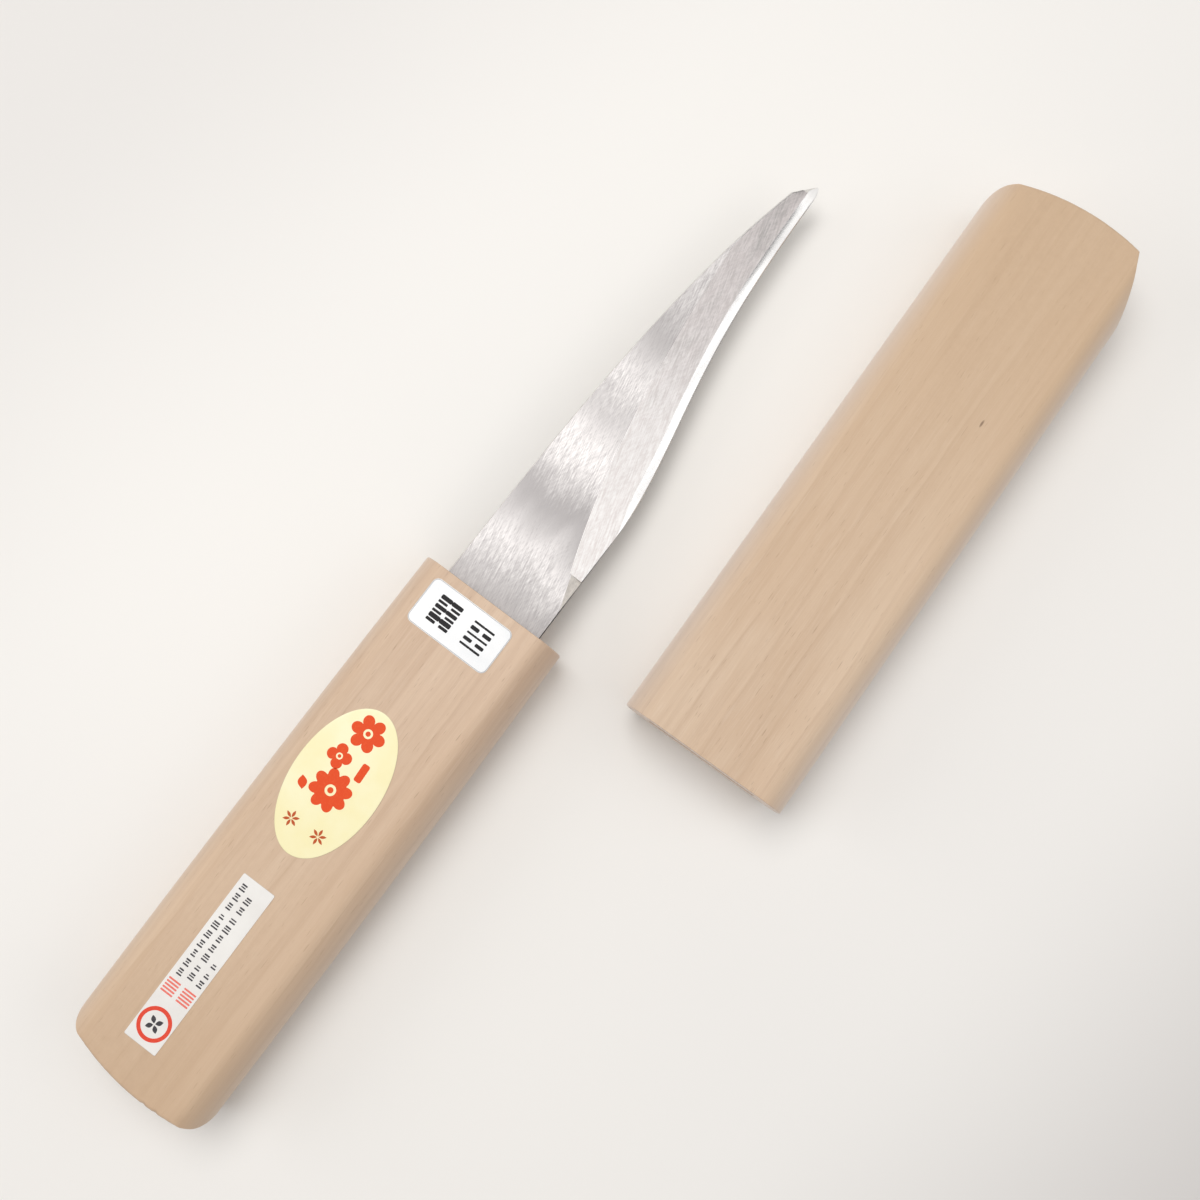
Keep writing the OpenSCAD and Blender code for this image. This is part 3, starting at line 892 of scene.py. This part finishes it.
def make_sheath():
    arc_reach = end_profile(SHEATH_LEN, SHEATH_SIDE, SHEATH_END_R, SHEATH_APEX, SHEATH_CORNERS)

    def reach(y):
        cut_line = SHEATH_LEN - CHAMFER_LEN + (y + SHEATH_SIDE) / CHAMFER_D * CHAMFER_LEN
        return min(arc_reach(y), cut_line)

    shape, carving = (1, lambda along: SHEATH_SIDE, SHEATH_SIDE, reach), (slot_cutter, SLOT_END)
    inside = slot_material("sheath_slot", 6, turn)
    tones = (rgb(214, 190, 165), rgb(207, 180, 153), rgb(182, 153, 127))
    placing = (shape, carving, SHEATH, "sheath")
    make_halves("sheath", tones, (3.3, 4.6), SHEATH_LOOK, turn, SHEATH_FLECK, inside, *placing)


# ---- Blade ----

FLAT_STEPS, BEVEL_STEPS, BACK_STEPS = 8, 6, 14
HOLLOW_RIM = 1.8
STRIP_CUTS = (0.3, 0.6, 0.9)
STRIP_SWELL = (0.03, 0.11)
MICRO_RISE = 0.05
BULGE_START, BULGE_LEN, BULGE_END, BULGE_FADE = 84, 14, 118, 5
STATION_STEP = 1.5
# Places in the iron's and the steel's lists of materials
GROUND, BEVEL, SCALE, HAZY_LIT = range(4)
POLISHED, BACK = range(2)


def between(a, b, steps):
    """Points strictly between a and b."""
    return [tuple(p + (q - p) * k / steps for p, q in zip(a, b)) for k in range(1, steps)]


def blade_stations(stop):
    marks = [-TANG_SHOULDER + THIN, 0, NOTCH_X, HEEL_X - 0.05, HEEL_X, BEND_X, POINT_X, stop]
    spaced = [STATION_STEP * k for k in range(1, int(stop / STATION_STEP))]
    tip = [POINT_X + k for k in range(1, 5) if POINT_X + k < stop - 0.3]
    near = [x for x in spaced if all(abs(x - m) > 0.5 for m in marks + tip)]
    return sorted(set(marks + near + tip))


def iron_ring(x):
    t, c = thick_at(x), chamfer_at(x)
    ys, top = spine_y(x), BACK_Z + t
    y3 = edge_y(x) + strip_at(x)
    land = BACK_Z + max(land_at(x), STEEL_T + 0.015)
    ridge = (ridge_y(x), top)
    flat_start = (ys - c, top)
    ring = [(ys, STEEL_Z), (ys, top - c), flat_start]
    ring += between(flat_start, ridge, FLAT_STEPS) + [ridge]
    ring += between(ridge, (y3, land), BEVEL_STEPS) + [(y3, land), (y3, STEEL_Z)]
    return [(x, y, z) for y, z in ring]


def tang_ring(x):
    """The tang, with as many points as a ring of the iron."""
    ys, ye = tang_side(x, SPINE_Y0), tang_side(x, EDGE_Y0)
    top, c = BACK_Z + BLADE_T, SPINE_CHAMFER
    flat_start, ridge = (ys - c, top), (ye + THIN, top)
    ring = [(ys, BACK_Z), (ys, top - c), flat_start]
    ring += between(flat_start, ridge, FLAT_STEPS) + [ridge]
    ring += between(ridge, (ye, top - THIN), BEVEL_STEPS) + [(ye, top - THIN), (ye, BACK_Z)]
    return [(x, y, z) for y, z in ring]


def make_iron():
    materials = [ground_iron_material(), bevel_iron_material(), scale_material(), hazy_lit_iron_material()]
    near_tip = [x / 10 for x in range(int(POINT_X * 10), int(BLADE_LEN * 10))]
    stop = max(x for x in near_tip if thick_at(x) > STEEL_T + 0.12)
    tang = [-TANG_LEN + TANG_ROUND * (1 - cos(pi / 2 * k / 6)) for k in range(7)]
    tang += [-TANG_LEN + 12 * k for k in range(1, 7)] + [-TANG_SHOULDER]
    rings = [tang_ring(x) for x in tang] + [iron_ring(x) for x in blade_stations(stop)]
    ridge_at = 2 + FLAT_STEPS
    bevel_end = ridge_at + BEVEL_STEPS

    def kinds(j, x):
        if x < 0 or j == 0 or j >= bevel_end:
            return SCALE
        if j == 1 or (j >= ridge_at and x < HEEL_X - 0.01):
            return HAZY_LIT
        return GROUND if j < ridge_at else BEVEL

    mesh = loft("blade_iron", rings, kinds, end_kind=SCALE)
    obj = make_object("iron_body", mesh, KNIFE, "knife", materials, "blade_iron", ["blade_iron"])
    smooth(obj, 9)


def strip_bulge(x):
    """How far the honed strip swells above a straight line: most near the point."""
    grown = min(max((x - BULGE_START) / BULGE_LEN, 0), 1)
    faded = min(max((BULGE_END - x) / BULGE_FADE, 0), 1)
    least, most = STRIP_SWELL
    return (least + (most - least) * grown) * faded * strip_at(x) / STRIP_W


def steel_ring(x):
    t, c = thick_at(x), chamfer_at(x)
    ys, ye = spine_y(x), edge_y(x)
    y3 = ye + strip_at(x)
    spine_top = BACK_Z + min(STEEL_T, t - c)
    strip_top = BACK_Z + min(STEEL_T, land_at(x))
    blunt = BACK_Z + min(blunt_at(x), strip_top - BACK_Z - THIN)
    ring = [(ys, BACK_Z), (ys, spine_top), (y3 + THIN, strip_top), (y3, strip_top - THIN / 2)]
    # The honed strip ends in a narrow, steeper micro-bevel
    for u in STRIP_CUTS:
        lift = strip_bulge(x) * 4 * u * (1 - u)
        if u == STRIP_CUTS[-1]:
            lift += MICRO_RISE * strip_at(x) / STRIP_W
        ring.append((y3 + (ye - y3) * u, strip_top + (blunt - strip_top) * u + lift))
    ring += [(ye, blunt), (ye, BACK_Z)]
    rim = min(HOLLOW_RIM, 0.2 * (ys - ye))
    for k in range(BACK_STEPS + 1):
        s = k / BACK_STEPS
        rise = hollow_at(x) * (1 - abs(2 * s - 1) ** 2.6)
        ring.append((ye + rim + (ys - ye - 2 * rim) * s, BACK_Z + rise))
    return [(x, y, z) for y, z in ring]


def make_steel():
    materials = [polished_steel_material(), back_steel_material(), scale_material(), hazy_lit_iron_material()]
    rings = [steel_ring(x) for x in blade_stations(BLADE_LEN)]
    blunt_side = 4 + len(STRIP_CUTS)

    def kinds(j, x):
        if j == 0:
            return SCALE
        if j in (1, 2):
            return HAZY_LIT
        if j <= blunt_side:
            return SCALE if x < BEND_X - 4 else POLISHED
        return BACK

    mesh = loft("blade_steel", rings, kinds, end_kind=POLISHED)
    obj = make_object("steel_edge_layer", mesh, KNIFE, "knife", materials, "blade_steel", ["blade_steel"])
    smooth(obj, 12)


# ---- Labels ----

LABEL_TOP = WOOD_T + 0.1
INK_TOP = LABEL_TOP + 0.012
INK_SINK = 0.02
FLOWER_POINTS = 120
# Each label's middle, from the handle's mouth, and its turn in degrees
LABEL_AT = {
    "grade_label": (-7.9, 2.2, 0),
    "oval_label": (-49.7, 2.75, 3),
    "strip_label": (-95.8, 2.55, 0.3),
}
# Sizes, each a hair inside the CAD label's
GRADE_LEN, GRADE_WIDTH, GRADE_CORNER = 11.2, 20.8, 1.5
OVAL_HALF = (17.55, 10.03)
STRIP_LEN, STRIP_WIDTH, STRIP_CORNER = 40.2, 8.1, 0.3
# The grade label's two groups of bars: (middle, width, thickness of each bar)
BAR_GROUPS = [
    (4.1, 5.6, (1.0, 0.6, 0.9, 0.6, 1.1, 0.7)),
    (-4.6, 5.2, (0.5, 0.9, 0.45, 0.8, 0.5)),
]
BAR_SPAN = 6.7
RING_MIDDLE = (-15.1, 0.0)
# The strip's rows of dashes: (place across, start, stop)
DASH_ROWS = ((2.3, -4.2, 18.5), (-0.2, -3.6, 17.0), (-2.7, -3.8, 2.0))
DASH_STEP = 2.35


def arc_points(cx, cy, r, start, stop, steps):
    angles = [radians(start + (stop - start) * k / steps) for k in range(steps + 1)]
    return [(cx + r * cos(a), cy + r * sin(a)) for a in angles]


def rounded_rectangle(length, width, r, steps=8):
    x, y = length / 2 - r, width / 2 - r
    out = []
    for cx, cy, start in ((x, y, 0), (-x, y, 90), (-x, -y, 180), (x, -y, 270)):
        out += arc_points(cx, cy, r, start, start + 90, steps)
    return out


def ellipse(a, b, steps=96):
    angles = [2 * pi * k / steps for k in range(steps)]
    return [(a * cos(angle), b * sin(angle)) for angle in angles]


def shrunk(points, amount):
    """The same outline drawn in towards its middle by about amount."""
    out = []
    for x, y in points:
        share = 1 - amount / max(hypot(x, y), amount)
        out.append((x * share, y * share))
    return out


def label_place(label):
    x, y, turned = LABEL_AT[label]
    return KNIFE @ Matrix.Translation(Vector((x, y, 0)) * MM) @ Matrix.Rotation(radians(turned), 4, "Z")


def sticker(label, shape, material):
    """A label: stacked outlines with a very small round at its edge."""
    levels = [(0.0, 0.0), (0.06, 0.0), (0.09, 0.03), (0.1, 0.12), (0.1, 0.5)]
    rings = [[(x, y, WOOD_T + z) for x, y in shrunk(shape, inset)] for z, inset in levels]
    mesh = loft(label + "_paper", rings)
    arris = mesh.attributes.new("arris", "FLOAT", "POINT")
    rim = 3 * len(shape)
    arris.data.foreach_set("value", [float(i < rim) for i in range(len(mesh.vertices))])
    obj = make_object(label + "_paper", mesh, label_place(label), "knife", [material], label, [label])
    smooth(obj, 40)


def ink(label, part, shapes, material):
    """Flat printed shapes, a hair above the label. Each shape is an outline, or an outline and its hole."""
    points, faces = [], []
    for shape in shapes:
        loops = list(shape) if isinstance(shape, tuple) else [shape]
        base, n = len(points), len(loops[0])
        layer = n * len(loops)
        for z in (LABEL_TOP - INK_SINK, INK_TOP):
            points += [(x, y, z) for loop in loops for x, y in loop]
        for start in range(base, base + layer, n):
            for j in range(n):
                a, b = start + j, start + (j + 1) % n
                faces.append((a, b, b + layer, a + layer))
        for start in (base, base + layer):
            if len(loops) == 1:
                faces.append(tuple(range(start, start + n)))
                continue
            for j in range(n):
                k = (j + 1) % n
                faces.append((start + j, start + k, start + n + k, start + n + j))
    name = label + "_" + part
    make_object(name, mesh_from(name, points, faces), label_place(label), "knife", [material], label)


def moved(points, dx, dy, turned=0.0):
    c, s = cos(radians(turned)), sin(radians(turned))
    return [(dx + x * c - y * s, dy + x * s + y * c) for x, y in points]


def bar(cx, cy, length, width):
    r = min(length, width) * 0.28
    return moved(rounded_rectangle(length, width, r, 3), cx, cy)


def petal(length, width, steps=14):
    """A pointed leaf between two equal arcs, as cut in a carved rosette."""
    half = length / 2
    top = [(-half + length * k / steps, width / 2 * sin(pi * k / steps)) for k in range(steps + 1)]
    low = [(half - length * k / steps, -width / 2 * sin(pi * k / steps)) for k in range(1, steps)]
    return top + low


def flower(cx, cy, radius, petals, depth, turned=0.0):
    """One bold outline with rounded lobes and an open eye, and a disc in the eye."""
    rim = []
    for k in range(FLOWER_POINTS):
        angle = 2 * pi * k / FLOWER_POINTS
        lobe = abs(cos(petals * angle / 2)) ** 0.7
        out_to = radius * (1 - depth + depth * lobe)
        rim.append((out_to * cos(angle), out_to * sin(angle)))
    eye = ellipse(radius * 0.26, radius * 0.26, FLOWER_POINTS)
    disc = ellipse(radius * 0.14, radius * 0.14, 24)
    return [(moved(rim, cx, cy, turned), moved(eye, cx, cy, turned)), moved(disc, cx, cy)]


def rosette(cx, cy, radius, petals, width, turned=0.0):
    """Carved-style pointed petals round a point."""
    out = []
    for k in range(petals):
        angle = turned + 360 * k / petals
        reach = radius * 0.56
        at_x = cx + reach * cos(radians(angle))
        at_y = cy + reach * sin(radians(angle))
        out.append(moved(petal(radius * 0.92, width), at_x, at_y, angle))
    return out


def make_grade_label():
    """White label by the mouth: a thin keyline and two groups of plain bars."""
    shape = rounded_rectangle(GRADE_LEN, GRADE_WIDTH, GRADE_CORNER)
    paper = paper_material("grade_label", rgb(240, 240, 240), rgb(228, 230, 232), 0.24)
    sticker("grade_label", shape, paper)
    keyline = (rounded_rectangle(10.9, 20.5, 1.36), rounded_rectangle(10.7, 20.3, 1.27))
    grey = ink_material("keyline_ink", rgb(150, 150, 152), rgb(190, 190, 190))
    ink("grade_label", "keyline", [keyline], grey)
    dark = ink_material("dark_ink", rgb(22, 21, 24), rgb(60, 58, 60))
    ink("grade_label", "bars", grade_bars(), dark)


def grade_bars():
    """Two groups of bars, thick and thin by turns, some split in the middle."""
    bars = []
    for middle, spread, weights in BAR_GROUPS:
        step = BAR_SPAN / len(weights)
        for k, weight in enumerate(weights):
            x = 3.4 - step * (k + 0.5)
            gap = 0.5 if k % 2 else 0.0
            for side in (1, -1):
                bars.append(bar(x, middle + side * (spread / 4 + gap / 2), weight, spread / 2 - gap))
    return bars


def make_oval_label():
    """Pale yellow oval: three bold flowers, two small rosettes and two plain marks."""
    paper = paper_material("oval_label", rgb(244, 238, 196), rgb(242, 233, 182), 0.28)
    sticker("oval_label", ellipse(*OVAL_HALF), paper)
    bold = flower(-1.9, 0.2, 4.7, 8, 0.34, 22)
    bold += flower(5.0, 2.7, 2.8, 4, 0.42, 10)
    bold += flower(12.1, 0.3, 4.0, 6, 0.4, 30)
    bold += [bar(4.6, -3.3, 4.2, 1.7), moved(petal(3.0, 2.0), -3.7, 6.1, 30)]
    orange = ink_material("orange_ink", rgb(226, 76, 30), rgb(232, 108, 58))
    ink("oval_label", "flowers", bold, orange)
    small = rosette(-11.2, 3.7, 1.8, 6, 0.62, 0) + rosette(-11.3, -3.2, 1.8, 6, 0.62, 0)
    brown = ink_material("thin_orange_ink", rgb(188, 84, 40), rgb(206, 120, 76))
    ink("oval_label", "small_leaves", small, brown)


def make_strip_label():
    """White strip: a plain ring with four leaves, two striped blocks and rows of plain dashes."""
    paper = paper_material("strip_label", rgb(236, 234, 230), rgb(229, 226, 222), 0.3)
    shape = rounded_rectangle(STRIP_LEN, STRIP_WIDTH, STRIP_CORNER)
    sticker("strip_label", shape, paper)
    ring = (moved(ellipse(3.7, 3.7, 64), *RING_MIDDLE), moved(ellipse(2.85, 2.85, 64), *RING_MIDDLE))
    red = ink_material("red_ink", rgb(224, 74, 54), rgb(236, 120, 100))
    ink("strip_label", "ring", [ring], red)
    blocks = [bar(-8.6 + 0.72 * k, side * 2.0, 0.4, 3.0) for k in range(5) for side in (1, -1)]
    pink = ink_material("pink_ink", rgb(232, 120, 108), rgb(242, 170, 158))
    ink("strip_label", "blocks", blocks, pink)
    grey = ink_material("grey_ink", rgb(66, 64, 68), rgb(110, 108, 110))
    leaves = rosette(*RING_MIDDLE, 1.9, 4, 1.0, 45)
    ink("strip_label", "dashes", leaves + dash_rows(), grey)


def dash_rows():
    """Rows of short dashes in twos and threes."""
    pick = random.Random(7)
    dashes = []
    for row_y, start, stop in DASH_ROWS:
        x = start
        while x < stop:
            length = pick.uniform(1.1, 1.7)
            dashes.append(bar(x, row_y + pick.uniform(-0.1, 0.1), 0.34, length))
            dashes.append(bar(x + 0.62, row_y, 0.28, length * pick.uniform(0.6, 1.0)))
            if pick.random() < 0.75:
                dashes.append(bar(x + 1.15, row_y, 0.36, length * 0.85))
            x += DASH_STEP
    return dashes


# ---- Camera, light and floor ----

CAMERA_FROM_MOUTH = Vector((-9.1, -35.9, 298.4))
KNIFE_HEADING = 53.2
CAMERA_TILT = 6.0
CAMERA_LENS = 39.47
WARM, PLAIN = (1, 0.985, 0.965), (1, 0.99, 0.985)
# Name, direction as it looks in the picture with 1 for the height, distance, size in metres, power, colour
LIGHTS = [
    ("key", (-0.17, 0.35), 0.9, (0.5, 0.5), 3.62, WARM),
    ("ceiling", (-0.02, 0.08), 1.05, (1.25, 1.2), 3.2, PLAIN),
    ("left_card", (-1.7, 0.2), 0.9, (0.7, 0.4), 1.5, PLAIN),
    ("side_card", (1.08, -0.2), 1.0, (0.95, 0.42), 1.5, PLAIN),
]
LIGHT_TARGET = Vector((0, 0, 0.01))


def picture_direction(right, up):
    """A level direction given as it looks in the picture: so much right and so much up."""
    heading = radians(KNIFE_HEADING)
    x = right * cos(heading) + up * sin(heading)
    y = -right * sin(heading) + up * cos(heading)
    return Vector((x, y, 0))


def make_camera():
    data = bpy.data.cameras.new("camera")
    data.lens = CAMERA_LENS
    data.sensor_width = 36
    data.clip_start = 0.01
    camera = add_object("camera", data)
    right, up = picture_direction(1, 0), picture_direction(0, 1)
    tilt = radians(CAMERA_TILT)
    look = up * sin(tilt) + Vector((0, 0, -cos(tilt)))
    top = right.cross(look)
    place = Matrix((right, top, -look)).transposed().to_4x4()
    place.translation = knife_mouth + CAMERA_FROM_MOUTH * MM
    camera.matrix_world = place
    bpy.context.scene.camera = camera


def make_light(name, seen, distance, size, power, colour):
    data = bpy.data.lights.new(name, "AREA")
    data.shape = "RECTANGLE"
    data.size, data.size_y = size
    data.energy = power
    data.color = colour
    light = add_object(name, data)
    direction = picture_direction(*seen) + Vector((0, 0, 1))
    light.location = LIGHT_TARGET + direction.normalized() * distance
    light.rotation_euler = (LIGHT_TARGET - light.location).to_track_quat("-Z", "Y").to_euler()


def make_surroundings():
    world = bpy.data.worlds.new("studio")
    bpy.context.scene.world = world
    world.use_nodes = True
    background = world.node_tree.nodes["Background"]
    background.inputs["Color"].default_value = (1.0, 0.985, 0.975, 1)
    background.inputs["Strength"].default_value = 0.31
    for light in LIGHTS:
        make_light(*light)
    bm = bmesh.new()
    bmesh.ops.create_grid(bm, x_segments=1, y_segments=1, size=2.5)
    mesh = bpy.data.meshes.new("table")
    bm.to_mesh(mesh)
    bm.free()
    table = add_object("table", mesh)
    mesh.materials.append(floor_material())
    bpy.context.scene.view_settings.view_transform = "Standard"


make_camera()
make_surroundings()
make_handle()
make_sheath()
make_iron()
make_steel()
make_grade_label()
make_oval_label()
make_strip_label()
